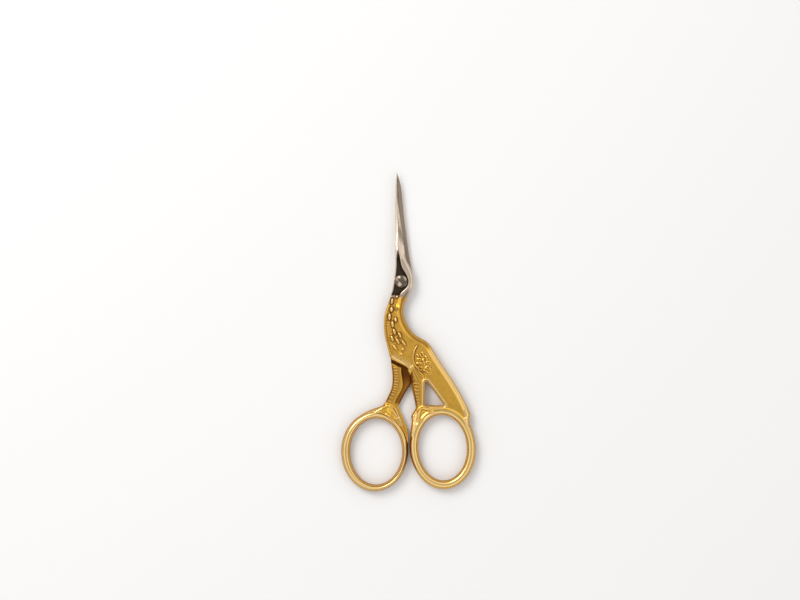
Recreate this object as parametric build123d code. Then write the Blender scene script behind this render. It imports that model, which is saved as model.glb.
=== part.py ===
from build123d import *
import math
import os

# Stork embroidery scissors, lying flat: two forged halves and a pivot screw.
# Frame: millimetres. The Z axis is the pivot axis and Z = 0 is the back that the
# scissors rest on. +Y runs to the tips, and +X to the bow of the front half.

# Driving plan sizes, measured from the pivot axis
blade_reach = 31.5            # to the tips
head_reach = 6.5              # to the heels of the blades, where the head ends
body_reach = 38.0             # down to the tail's corner
body_breadth = 19.9           # across to the tail's corner
tip_offset = 1.2              # of the tips to the left of the axis
tip_width = 0.16              # of each blade at its point
tip_setback = 0.35            # of the rear point behind the front one

# Bows
ring_thickness = 3.3          # of both bows, which also sets the joint plane
ring_fillet = 0.75            # rounding of the bows' edges
ring_gap = 0.5                # between the closed bows
parting_offset = 2.25         # of the closed bows' parting line from the axis
seat_overlap = 0.55           # that a body or leg runs into its bow's band

front_hole_width = 14.0
front_hole_length = 18.8
front_band_inboard = 2.4      # beside the other bow
front_band_outboard = 2.55
front_band_end = 2.5          # at the top and the bottom
front_ring_lap = 2.2          # that the bow's top stands above the tail's corner
front_ring_lean = 4.0         # degrees

rear_hole_width = 14.9
rear_hole_length = 18.95
rear_band_inboard = 1.7
rear_band_outboard = 2.6
rear_band_end = 1.95
rear_ring_lap = 0.6

# Thicknesses
joint_gap = 0.04              # between the two halves
front_thickness = 1.75        # of the front half over the rear one
blade_tip_thickness = 0.4
edge_land = 0.12              # blade thickness left at the cutting edge
blade_lap = 0.75              # that a blade's heel runs into the head
leg_face_height = 2.75        # of the rear leg's face above the back
pad_back_inset = 0.35         # of the front half's underside above the back
field_depth = 0.32            # of the carved field below the rim
recess_depth = 0.5            # of the screw's recess below the rim
lip_rise = 0.28               # of the wing's lip above the field
opening_rounding = 0.3        # of the corners of the opening behind the leg
hole_rim_rise = 0.26          # of the rim round that opening, above the field
hole_rim_offset = 1.0         # of the rim's outer side from the opening
hole_rim_width = 0.55

# Carved beads and ribs
bead_length = 2.15
bead_width = 1.0
bead_rise = 0.42
rib_radius = 0.26
quill_radius = 0.22
toe_radius = 0.36
rib_inset = 0.35              # of a rib's ends from the leg's edges
rear_rib_count = 13
front_rib_count = 8

# Pivot screw
screw_shank_diameter = 2.2
screw_head_diameter = 3.7
screw_head_height = 0.95
screw_head_rounding = 0.4
screw_slot_width = 0.65
screw_slot_depth = 0.5
screw_slot_angle = -45.0      # degrees from +X
running_clearance = 0.03      # shank in the front half, and head on its seat
thread_clearance = 0.01

overrun = 1.0                 # of every cutting tool past what it cuts

# Heights worked out from the thicknesses
joint_height = ring_thickness / 2
front_floor = joint_height + joint_gap / 2
rear_top = joint_height - joint_gap / 2
front_top = front_floor + front_thickness
field_height = front_top - field_depth
recess_height = front_top - recess_depth

# Outlines. Each pair is a share of body_breadth to the right of the axis, and a
# share of body_reach below it. Above the axis the second is a share of head_reach.
FRONT_BACK_SHARES = [
    (0.072, -1.0), (0.091, -0.867), (0.130, -0.644), (0.164, -0.378), (0.182, -0.067),
    (0.177, 0.034), (0.145, 0.076), (0.101, 0.114), (0.062, 0.148), (0.039, 0.186),
    (0.032, 0.223), (0.041, 0.261), (0.065, 0.299), (0.101, 0.337), (0.152, 0.375),
    (0.217, 0.408), (0.289, 0.430), (0.355, 0.448), (0.405, 0.473), (0.449, 0.510),
]
TAIL_EDGE_SHARES = [(0.449, 0.510), (0.630, 0.659), (0.781, 0.780), (0.926, 0.917), (1.0, 1.0)]
TAIL_FOOT_SHARES = [(1.0, 1.0), (0.985, 1.050), (0.990, 1.130)]
FRONT_BREAST_SHARES = [
    (-0.081, -1.0), (-0.093, -0.289), (-0.116, 0.027), (-0.145, 0.102), (-0.188, 0.170),
    (-0.227, 0.231), (-0.246, 0.299), (-0.242, 0.375), (-0.220, 0.447), (-0.184, 0.515),
    (-0.168, 0.561),
]
BELLY_SHARES = [
    (-0.168, 0.561), (-0.101, 0.602), (-0.029, 0.621), (0.043, 0.640), (0.101, 0.667),
    (0.133, 0.701), (0.145, 0.739), (0.149, 0.784), (0.166, 0.830), (0.188, 0.883),
    (0.211, 0.943), (0.214, 0.970),
]
FRONT_FOOT_SHARES = [(0.214, 0.970), (0.145, 1.015), (0.159, 1.057), (0.142, 1.110), (0.129, 1.170)]
PAD_EDGE_SHARES = [
    (0.300, 0.425), (0.215, 0.452), (0.190, 0.520), (0.197, 0.610), (0.202, 0.690), (0.198, 0.775),
]
PAD_OUTER_SHARES = [
    (0.198, 0.775), (0.110, 0.845), (0.110, 1.250), (1.200, 1.250), (1.200, 0.425), (0.300, 0.425),
]
OPENING_SHARES = [(0.352, 0.740), (0.344, 0.932), (0.628, 0.938)]
FIELD_BACK_SHARES = [
    (-0.020, 0.105), (-0.018, 0.140), (-0.027, 0.178), (-0.036, 0.216), (-0.029, 0.265),
    (0.0, 0.314), (0.046, 0.362), (0.110, 0.402), (0.188, 0.434), (0.275, 0.458),
    (0.347, 0.485), (0.398, 0.523), (0.579, 0.670), (0.731, 0.792), (0.868, 0.920),
    (0.945, 1.020),
]
FIELD_LEG_SHARES = [(0.945, 1.020), (0.800, 1.080), (0.200, 1.080), (0.080, 1.020), (0.080, 0.680), (0.116, 0.655)]
FIELD_BREAST_SHARES = [(0.116, 0.655), (0.043, 0.609), (-0.029, 0.588), (-0.116, 0.559), (-0.188, 0.523)]
FIELD_OUTER_SHARES = [(-0.188, 0.523), (-0.330, 0.500), (-0.350, 0.300), (-0.260, 0.105), (-0.020, 0.105)]
RECESS_SHARES = [
    (-0.039, -1.40), (-0.022, -1.133), (-0.006, -0.867), (0.019, -0.600), (0.058, -0.400),
    (0.091, -0.200), (0.106, 0.0), (0.091, 0.034), (0.043, 0.064), (0.0, 0.085), (-0.018, 0.105),
]
RECESS_OUTER_SHARES = [(-0.018, 0.105), (-0.240, 0.112), (-0.240, -0.600), (-0.039, -1.40)]
LIP_OUTER_SHARES = [(0.250, 0.466), (0.188, 0.510), (0.159, 0.562), (0.170, 0.612), (0.225, 0.655), (0.330, 0.684)]
LIP_INNER_SHARES = [(0.330, 0.684), (0.245, 0.645), (0.197, 0.606), (0.188, 0.562), (0.211, 0.515), (0.250, 0.466)]

REAR_BACK_SHARES = [
    (0.126, -1.0), (0.145, -0.689), (0.166, -0.378), (0.178, -0.067), (0.168, 0.034),
    (0.133, 0.076), (0.084, 0.114), (0.041, 0.152), (0.014, 0.193), (0.007, 0.231),
    (0.017, 0.277), (0.043, 0.326), (0.080, 0.379), (0.113, 0.443), (0.135, 0.519),
    (0.148, 0.610), (0.153, 0.693), (0.151, 0.769),
]
REAR_HOCK_SHARES = [(0.151, 0.769), (0.119, 0.795), (0.072, 0.833), (0.029, 0.875), (-0.010, 0.913), (-0.039, 0.951)]
REAR_HEEL_SHARES = [
    (-0.039, 0.951), (0.0, 0.989), (0.043, 1.049), (0.087, 1.110), (0.104, 1.178), (0.100, 1.246),
]
REAR_BREAST_SHARES = [
    (-0.068, -1.0), (-0.078, -0.289), (-0.096, 0.027), (-0.123, 0.102), (-0.164, 0.170),
    (-0.201, 0.231), (-0.219, 0.299), (-0.216, 0.375), (-0.197, 0.447), (-0.169, 0.515),
    (-0.146, 0.612),
]
LEG_FRONT_SHARES = [
    (-0.146, 0.612), (-0.127, 0.686), (-0.123, 0.746), (-0.132, 0.792), (-0.156, 0.833),
    (-0.194, 0.875), (-0.226, 0.909), (-0.268, 0.936), (-0.333, 0.951), (-0.420, 0.966),
    (-0.507, 0.987), (-0.580, 1.010), (-0.640, 1.038),
]
LEG_BACK_SHARES = [
    (0.003, 0.652), (0.016, 0.731), (0.022, 0.792), (-0.014, 0.837), (-0.058, 0.875), (-0.090, 0.920),
]
LEG_HEEL_SHARES = [(-0.090, 0.920), (-0.075, 0.955), (-0.030, 1.0), (0.020, 1.080)]

# Beads down the neck: shares as above, then the lean in degrees from the Y axis
# and a share of bead_length
BEAD_SHARES = [
    (-0.058, 0.105, -10.0, 0.85), (-0.131, 0.148, -12.0, 1.0), (-0.136, 0.211, -6.0, 0.8),
    (-0.165, 0.266, -4.0, 1.1), (-0.122, 0.322, 3.0, 1.05), (-0.096, 0.378, 14.0, 1.0),
    (-0.127, 0.430, 18.0, 1.0), (-0.046, 0.451, 26.0, 1.0), (-0.017, 0.404, 24.0, 1.0),
    (0.040, 0.464, 34.0, 1.0), (-0.087, 0.498, 32.0, 0.9), (0.027, 0.511, 30.0, 0.5),
    (0.007, 0.547, 30.0, 0.5), (-0.062, 0.206, -4.0, 0.7), (-0.078, 0.288, 2.0, 0.8),
]

# Ribs across the legs: where the first and last rib cross the leg's two edges
REAR_RIB_LEFT_SHARES = [
    (-0.134, 0.650), (-0.125, 0.700), (-0.123, 0.750), (-0.134, 0.795), (-0.160, 0.832), (-0.218, 0.888),
]
REAR_RIB_RIGHT_SHARES = [
    (-0.022, 0.652), (-0.016, 0.702), (-0.014, 0.754), (-0.024, 0.803), (-0.062, 0.852), (-0.118, 0.915),
]
FRONT_RIB_LEFT_SHARES = [(0.160, 0.765), (0.190, 0.860), (0.214, 0.938)]
FRONT_RIB_RIGHT_SHARES = [(0.275, 0.770), (0.285, 0.860), (0.290, 0.938)]

# Quills over the thigh and toes over the bows: where each bar starts and ends
QUILL_SHARES = [
    ((0.105, 0.665), (0.185, 0.745)), ((0.140, 0.650), (0.230, 0.750)), ((0.170, 0.640), (0.270, 0.745)),
]
FRONT_TOE_SHARES = [
    ((0.230, 0.958), (0.170, 1.010)), ((0.285, 0.955), (0.240, 1.045)), ((0.300, 0.955), (0.450, 0.968)),
]
REAR_TOE_SHARES = [
    ((-0.195, 0.930), (-0.360, 0.978)), ((-0.170, 0.935), (-0.165, 0.985)), ((-0.150, 0.930), (-0.060, 1.020)),
]

# Blade sections, heel to point. Shares of the blade's length, of the spine's and
# edge's way from their heels to the point, and of the height at the cutting edge.
FRONT_BLADE_SHARES = [
    (0.0, 0.0, 0.0, 1.0), (0.10, 0.04, 0.14, 0.62), (0.28, 0.08, 0.39, 0.22),
    (0.47, 0.14, 0.64, 0.0), (0.68, 0.25, 0.88, 0.0), (0.84, 0.45, 0.95, 0.0), (1.0, 1.0, 1.0, 0.0),
]
REAR_BLADE_SHARES = [
    (0.0, 0.0, 0.0, 1.0), (0.10, 0.12, 0.02, 0.62), (0.28, 0.28, 0.05, 0.22),
    (0.47, 0.45, 0.10, 0.0), (0.68, 0.58, 0.20, 0.0), (0.83, 0.68, 0.40, 0.0),
    (0.92, 0.82, 0.70, 0.0), (1.0, 1.0, 1.0, 0.0),
]
RIDGE_SHARE = 0.36            # of the blade's width, from the spine
SPINE_SHARE = 0.78            # of the blade's height, at the spine


def place(pair):
    """A plan point in millimetres from its pair of shares."""
    across, down = pair
    return (across * body_breadth, -down * (head_reach if down < 0 else body_reach))


def smooth(pairs):
    return Spline(*[place(pair) for pair in pairs])


def straight(pairs):
    return Polyline(*[place(pair) for pair in pairs])


def slab(face, low, high):
    """The face's outline as a slab between two heights."""
    return extrude(Pos(0, 0, low) * face, high - low)


def oval_face(width, length, centre, lean=0.0):
    return Pos(centre[0], centre[1], 0) * Rot(0, 0, lean) * make_face(Ellipse(width / 2, length / 2).edges())


class Bow:
    """One finger ring, as the gap between an outer and an inner oval."""

    def __init__(self, side, hole, bands, drop, lean=0.0):
        inboard, outboard, end = bands
        self.lean = lean
        self.width = hole[0] + inboard + outboard
        self.length = hole[1] + 2 * end
        self.hole = hole
        outer_x = parting_offset + side * (ring_gap / 2 + self.width / 2)
        self.centre = (outer_x, -drop - self.length / 2)
        self.hole_centre = (outer_x + side * (inboard - outboard) / 2, self.centre[1])

    def solid(self):
        outer = oval_face(self.width, self.length, self.centre, self.lean)
        inner = oval_face(self.hole[0], self.hole[1], self.hole_centre, self.lean)
        band = slab(outer - inner, 0, ring_thickness)
        rims = band.edges().filter_by(lambda edge: abs(edge.center().Z - joint_height) > joint_height / 2)
        return fillet(rims, ring_fillet)

    def seat(self):
        """What is cleared out of a body or leg so that the bow's band shows."""
        core = oval_face(self.width - 2 * seat_overlap, self.length - 2 * seat_overlap, self.centre, self.lean)
        return slab(core, -overrun, front_top + overrun)


front_bow = Bow(
    1,
    (front_hole_width, front_hole_length),
    (front_band_inboard, front_band_outboard, front_band_end),
    body_reach - front_ring_lap,
    front_ring_lean,
)
rear_bow = Bow(
    -1,
    (rear_hole_width, rear_hole_length),
    (rear_band_inboard, rear_band_outboard, rear_band_end),
    body_reach - rear_ring_lap,
)


def blade(rows, heels, points, floor, direction, heel_thickness, reach):
    """A tapering blade with a flat inner face, a spine facet and an edge facet.

    Heels and points are the spine's and the cutting edge's places across, at each
    end. The heel section is repeated inside the head, so that blade and head join.
    """
    sections = []
    length = reach - head_reach
    for along, spine_way, edge_way, edge_rise in [(-blade_lap / length, 0.0, 0.0, 1.0)] + rows:
        y = head_reach + along * length
        height = heel_thickness + max(along, 0.0) * (blade_tip_thickness - heel_thickness)
        spine = heels[0] + spine_way * (points[0] - heels[0])
        edge = heels[1] + edge_way * (points[1] - heels[1])
        ridge = spine + RIDGE_SHARE * (edge - spine)
        land = max(edge_rise * height, edge_land)
        spine_rise = height * (SPINE_SHARE + (1 - SPINE_SHARE) * edge_rise)
        corners = [
            (spine, y, floor),
            (spine, y, floor + direction * spine_rise),
            (ridge, y, floor + direction * height),
            (edge, y, floor + direction * land),
            (edge, y, floor),
        ]
        sections.append(make_face(Polyline(*corners, close=True)))
    return loft(sections, ruled=True)


def way(pairs, share):
    """The point at a share of the way along a row of plan points."""
    points = [place(pair) for pair in pairs]
    step = share * (len(points) - 1)
    first = min(int(step), len(points) - 2)
    part = step - first
    (x0, y0), (x1, y1) = points[first], points[first + 1]
    return (x0 + part * (x1 - x0), y0 + part * (y1 - y0))


def bar(start, end, radius):
    """A round bar between two points."""
    return Solid.make_cylinder(radius, (end - start).length, Plane(origin=start, z_dir=end - start))


def ribs(left, right, count, height):
    """Round bars laid across a leg, half sunk in its face."""
    bars = []
    for number in range(count):
        share = number / (count - 1)
        start = Vector(*way(left, share), height)
        end = Vector(*way(right, share), height)
        inset = (end - start).normalized() * rib_inset
        bars.append(bar(start + inset, end - inset, rib_radius))
    return bars


def rays(pairs, radius, height):
    """Round bars with round ends, half sunk in a face, for quills and toes."""
    solids = []
    for first, last in pairs:
        start = Vector(*place(first), height)
        end = Vector(*place(last), height)
        solids.append(bar(start, end, radius) + Pos(*start) * Sphere(radius) + Pos(*end) * Sphere(radius))
    return solids


def beads():
    """Oval beads, half sunk in the neck's field."""
    solids = []
    for across, down, lean, length_share in BEAD_SHARES:
        x, y = place((across, down))
        bead = scale(Sphere(1), by=(bead_width / 2, bead_length * length_share / 2, bead_rise))
        solids.append(Pos(x, y, field_height) * Rot(0, 0, lean) * bead)
    return solids


def front_plan():
    sides = [
        smooth(FRONT_BACK_SHARES),
        smooth(TAIL_EDGE_SHARES),
        straight(TAIL_FOOT_SHARES),
        Polyline(place(TAIL_FOOT_SHARES[-1]), front_bow.centre, place(FRONT_FOOT_SHARES[-1])),
        straight(FRONT_FOOT_SHARES),
        smooth(BELLY_SHARES),
        smooth(FRONT_BREAST_SHARES),
        Line(place(FRONT_BREAST_SHARES[0]), place(FRONT_BACK_SHARES[0])),
    ]
    return make_face(Curve() + sides)


def rear_plan():
    sides = [
        smooth(REAR_BACK_SHARES),
        smooth(REAR_HOCK_SHARES),
        straight(REAR_HEEL_SHARES),
        Polyline(place(REAR_HEEL_SHARES[-1]), rear_bow.centre, place(LEG_FRONT_SHARES[-1])),
        smooth(LEG_FRONT_SHARES),
        smooth(REAR_BREAST_SHARES),
        Line(place(REAR_BREAST_SHARES[0]), place(REAR_BACK_SHARES[0])),
    ]
    return make_face(Curve() + sides)


def leg_plan():
    sides = [
        smooth(LEG_FRONT_SHARES),
        Polyline(place(LEG_FRONT_SHARES[-1]), rear_bow.centre, place(LEG_HEEL_SHARES[-1])),
        straight(LEG_HEEL_SHARES),
        smooth(LEG_BACK_SHARES),
        Line(place(LEG_BACK_SHARES[0]), place(LEG_FRONT_SHARES[0])),
    ]
    return make_face(Curve() + sides)


def opening_face(margin):
    """The opening between the front leg and the tail, with rounded corners."""
    corners = [place(pair) for pair in OPENING_SHARES]
    face = make_face(Polyline(*corners, close=True))
    rounded = fillet(face.vertices(), opening_rounding)
    return offset(rounded, margin) if margin else rounded


def front_half():
    plan = front_plan()
    body = slab(plan, front_floor, front_top)
    window = make_face(Curve() + [smooth(PAD_EDGE_SHARES), straight(PAD_OUTER_SHARES)])
    body += slab(plan & window, pad_back_inset, front_top)
    field_sides = [
        smooth(FIELD_BACK_SHARES),
        straight(FIELD_LEG_SHARES),
        smooth(FIELD_BREAST_SHARES),
        straight(FIELD_OUTER_SHARES),
    ]
    body -= slab(make_face(Curve() + field_sides), field_height, front_top + overrun)
    lip = make_face(Curve() + [smooth(LIP_OUTER_SHARES), smooth(LIP_INNER_SHARES)])
    body += slab(lip, field_height - field_depth, field_height + lip_rise)
    rim = opening_face(hole_rim_offset) - opening_face(hole_rim_offset - hole_rim_width)
    body += slab(rim, field_height - field_depth, field_height + hole_rim_rise)
    carving = beads() + ribs(FRONT_RIB_LEFT_SHARES, FRONT_RIB_RIGHT_SHARES, front_rib_count, field_height)
    carving += rays(QUILL_SHARES, quill_radius, field_height)
    for relief in carving:
        body += relief
    body -= slab(opening_face(0), -overrun, front_top + overrun)
    body -= front_bow.seat()
    body += front_bow.solid()
    for toe in rays(FRONT_TOE_SHARES, toe_radius, field_height):
        body += toe
    heels = (place(FRONT_BREAST_SHARES[0])[0], place(FRONT_BACK_SHARES[0])[0])
    points = (-tip_offset - tip_width / 2, -tip_offset + tip_width / 2)
    body += blade(FRONT_BLADE_SHARES, heels, points, front_floor, 1, front_thickness, blade_reach)
    recess = make_face(Curve() + [smooth(RECESS_SHARES), straight(RECESS_OUTER_SHARES)])
    body -= slab(recess, recess_height, front_top + overrun)
    bore_radius = screw_shank_diameter / 2 + running_clearance
    body -= Pos(0, 0, front_floor + front_thickness / 2) * Cylinder(bore_radius, front_thickness + 2 * overrun)
    return body


def rear_half():
    body = slab(rear_plan(), 0, rear_top)
    body += slab(leg_plan(), rear_top / 2, leg_face_height)
    for rib in ribs(REAR_RIB_LEFT_SHARES, REAR_RIB_RIGHT_SHARES, rear_rib_count, leg_face_height):
        body += rib
    body -= rear_bow.seat()
    body += rear_bow.solid()
    for toe in rays(REAR_TOE_SHARES, toe_radius, leg_face_height):
        body += toe
    heels = (place(REAR_BACK_SHARES[0])[0], place(REAR_BREAST_SHARES[0])[0])
    points = (-tip_offset + tip_width / 2, -tip_offset - tip_width / 2)
    body += blade(REAR_BLADE_SHARES, heels, points, rear_top, -1, rear_top, blade_reach - tip_setback)
    bore_radius = screw_shank_diameter / 2 + thread_clearance
    body -= Pos(0, 0, rear_top / 2) * Cylinder(bore_radius, rear_top + 2 * overrun)
    return body


def pivot_screw():
    """Its end is flush with the rear half's back, and its head seats in the recess."""
    seat = recess_height + running_clearance
    shank = Pos(0, 0, seat / 2) * Cylinder(screw_shank_diameter / 2, seat)
    head = Cylinder(screw_head_diameter / 2, screw_head_height)
    head = fillet(head.edges().group_by(Axis.Z)[-1], screw_head_rounding)
    slot = Pos(0, 0, screw_head_height / 2) * Box(
        screw_head_diameter + 2 * overrun, screw_slot_width, 2 * screw_slot_depth
    )
    head -= Rot(0, 0, screw_slot_angle) * slot
    return shank + Pos(0, 0, seat + screw_head_height / 2) * head


os.makedirs("parts", exist_ok=True)
for name, make in {"front_half": front_half, "rear_half": rear_half, "pivot_screw": pivot_screw}.items():
    export_step(make(), f"parts/{name}.step")
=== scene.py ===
"""Stork embroidery scissors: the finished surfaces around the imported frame.

Each forged half is a carved, gold-plated handle below a bare polished head and
blade. The handles, heads and bows are worked up from the frame's own solids, so
every outline and fit stays where the frame puts it. The blades and the slotted
pivot screw are modelled anew. Lengths are in metres, in the frame's own axes.
"""

import logging
import math
from contextlib import contextmanager
from dataclasses import dataclass
from enum import Enum
from typing import Iterator

import bpy
import numpy as np
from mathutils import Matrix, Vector, kdtree, noise

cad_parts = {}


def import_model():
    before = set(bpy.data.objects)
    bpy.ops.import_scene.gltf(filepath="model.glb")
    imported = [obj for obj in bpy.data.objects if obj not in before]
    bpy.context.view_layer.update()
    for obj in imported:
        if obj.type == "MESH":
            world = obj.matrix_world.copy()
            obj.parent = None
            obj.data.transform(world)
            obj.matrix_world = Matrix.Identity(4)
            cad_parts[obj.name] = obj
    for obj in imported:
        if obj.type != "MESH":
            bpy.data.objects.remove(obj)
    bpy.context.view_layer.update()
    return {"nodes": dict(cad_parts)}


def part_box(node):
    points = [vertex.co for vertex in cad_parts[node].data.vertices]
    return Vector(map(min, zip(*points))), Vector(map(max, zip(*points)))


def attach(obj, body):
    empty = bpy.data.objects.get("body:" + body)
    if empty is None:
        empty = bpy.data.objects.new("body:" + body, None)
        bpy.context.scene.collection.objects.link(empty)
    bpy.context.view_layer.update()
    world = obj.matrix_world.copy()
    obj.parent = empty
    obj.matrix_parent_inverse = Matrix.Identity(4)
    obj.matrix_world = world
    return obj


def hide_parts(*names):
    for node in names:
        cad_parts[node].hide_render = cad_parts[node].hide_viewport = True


log = logging.getLogger("scissors")

MM = 0.001
BODY_BREADTH = 19.9 * MM      # from the pivot axis across to the tail's corner
BODY_REACH = 38.0 * MM        # from the pivot axis down to the tail's corner
FRAME_WELD = 0.002 * MM       # at which the frame's own points are merged
FACE_TILTS = (0.25, 0.6)      # of the normal, where a face that looks up starts and is whole
WALL_TILT = 0.3               # below which a point lies on a wall
CAP_TILT = 0.9999             # above which a polygon is a flat cap of a cut
TINY = 1e-9
KEPT_NORMALS = "kept_normals"
EDGE_SIZES = ("width", "drop", "blend", "lip", "worn")

Row = tuple[float, ...]


class Body(Enum):
    """The two rigid bodies that the pivot joins."""

    REAR = "rear"
    FRONT = "front"


class Slot(Enum):
    """The record's material slots."""

    GOLD = "gold_plate"
    STEEL = "polished_steel"


class Keep(Enum):
    """Which side of a cut stays."""

    ABOVE = 1
    BELOW = -1


def activate(*pieces: bpy.types.Object) -> None:
    """Selects pieces alone.

    Args:
        pieces: The pieces, of which the first becomes the active one.
    """
    bpy.ops.object.select_all(action="DESELECT")
    for piece in pieces:
        piece.select_set(True)
    bpy.context.view_layer.objects.active = pieces[0]


@contextmanager
def edit_mode(piece: bpy.types.Object) -> Iterator[None]:
    """Opens a piece in edit mode with all of it selected, and closes it again.

    Args:
        piece: The piece.
    """
    activate(piece)
    bpy.ops.object.mode_set(mode="EDIT")
    bpy.ops.mesh.select_all(action="SELECT")
    yield
    bpy.ops.object.mode_set(mode="OBJECT")


def apply_modifiers(piece: bpy.types.Object) -> None:
    """Applies every modifier of a piece in order.

    Args:
        piece: The piece, changed in place.
    """
    activate(piece)
    for modifier in list(piece.modifiers):
        bpy.ops.object.modifier_apply(modifier=modifier.name)


def voxel_remesh(piece: bpy.types.Object, voxel: float) -> None:
    """Adds a modifier that covers a piece with one even skin.

    Args:
        piece: The piece.
        voxel: The spacing of the skin's points.
    """
    remesh = piece.modifiers.new("remesh", "REMESH")
    remesh.mode = "VOXEL"
    remesh.voxel_size = voxel


def copy_of(piece: bpy.types.Object, name: str) -> bpy.types.Object:
    """Copies a piece with its own mesh.

    Args:
        piece: The piece.
        name: The copy's name.

    Returns:
        The copy.
    """
    twin = bpy.data.objects.new(name, piece.data.copy())
    bpy.context.scene.collection.objects.link(twin)
    return twin


def merged_copy(node: bpy.types.Object, name: str) -> bpy.types.Object:
    """Copies a frame node as one closed, welded mesh.

    Args:
        node: The frame's own object, which stays as it is.
        name: The new piece's name.

    Returns:
        The new piece, at the origin.
    """
    piece = copy_of(node, name)
    piece.data.materials.clear()
    with edit_mode(piece):
        bpy.ops.mesh.remove_doubles(threshold=FRAME_WELD)
        bpy.ops.mesh.customdata_custom_splitnormals_clear()
    return piece


def cut(piece: bpy.types.Object, height: float, keep: Keep) -> None:
    """Cuts a piece square across its length and caps the cut.

    Args:
        piece: The piece, changed in place.
        height: The Y place of the cut.
        keep: The side of the cut that stays.
    """
    with edit_mode(piece):
        bpy.ops.mesh.bisect(
            plane_co=(0.0, height, 0.0),
            plane_no=(0.0, 1.0, 0.0),
            use_fill=True,
            threshold=TINY,
            clear_inner=keep is Keep.ABOVE,
            clear_outer=keep is Keep.BELOW,
        )


def hand_over(
    piece: bpy.types.Object, finish: bpy.types.Material, body: Body, node: bpy.types.Object
) -> None:
    """Puts a finished piece in a node's place.

    Args:
        piece: The piece.
        finish: Its material.
        body: The body that it rides on.
        node: The frame's own object that it replaces.
    """
    piece.data.materials.clear()
    piece.data.materials.append(finish)
    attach(piece, body.value)
    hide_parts(node.name)
    log.info("%s: %d faces on %s", piece.name, len(piece.data.polygons), body.value)


def place(pair: Row) -> np.ndarray:
    """A plan point in metres from its pair of shares."""
    return np.array([pair[0] * BODY_BREADTH, -pair[1] * BODY_REACH])


def smoothstep(values: np.ndarray, low: float, high: float) -> np.ndarray:
    """Rises smoothly from 0 at one value to 1 at the other."""
    way = np.clip((values - low) / (high - low), 0.0, 1.0)
    return way * way * (3 - 2 * way)


def bell(values: np.ndarray) -> np.ndarray:
    """A round hump that is 1 at nought and fades past 1."""
    return np.exp(-values * values)


@dataclass(frozen=True)
class Edge:
    """A stretch of outline whose upper edge is rolled over.

    Attributes:
        facing: The plan direction that its wall faces.
        span_shares: Where it starts and ends, as shares of the body's reach.
        width: How far in the roll starts.
        drop: How far the roll falls at the wall.
        blend: How far in the face behind it is smoothed over.
        lip: How far a thin lip stands up along it.
        worn: How pale its rim is from wear and painted highlight, or below nought how dark it is from painted
            shade.
        across_shares: Between which places across it lies, as shares of the breadth.
        fade_share: Over how much of the body's reach it gives way to the next.
    """

    facing: Row
    span_shares: Row
    width: float
    drop: float
    blend: float = 0.0
    lip: float = 0.0
    worn: float = 0.0
    across_shares: Row = (-2.0, 2.0)
    fade_share: float = 0.03

    def weight(self, spots: np.ndarray, facing: np.ndarray) -> np.ndarray:
        """How far each point of the walls belongs to this edge.

        Args:
            spots: The walls' points.
            facing: Their normals.

        Returns:
            A weight for each point, from 0 to 1.
        """
        way = np.array(self.facing) / math.hypot(*self.facing)
        start, end = self.span_shares
        fade = self.fade_share
        down = -spots[:, 1] / BODY_REACH
        window = smoothstep(down, start - fade, start + fade) * (1 - smoothstep(down, end - fade, end + fade))
        across = spots[:, 0] / BODY_BREADTH
        window *= (across > self.across_shares[0]) & (across < self.across_shares[1])
        return np.clip(facing[:, :2] @ way, 0.0, 1.0) ** 2 * window


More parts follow.
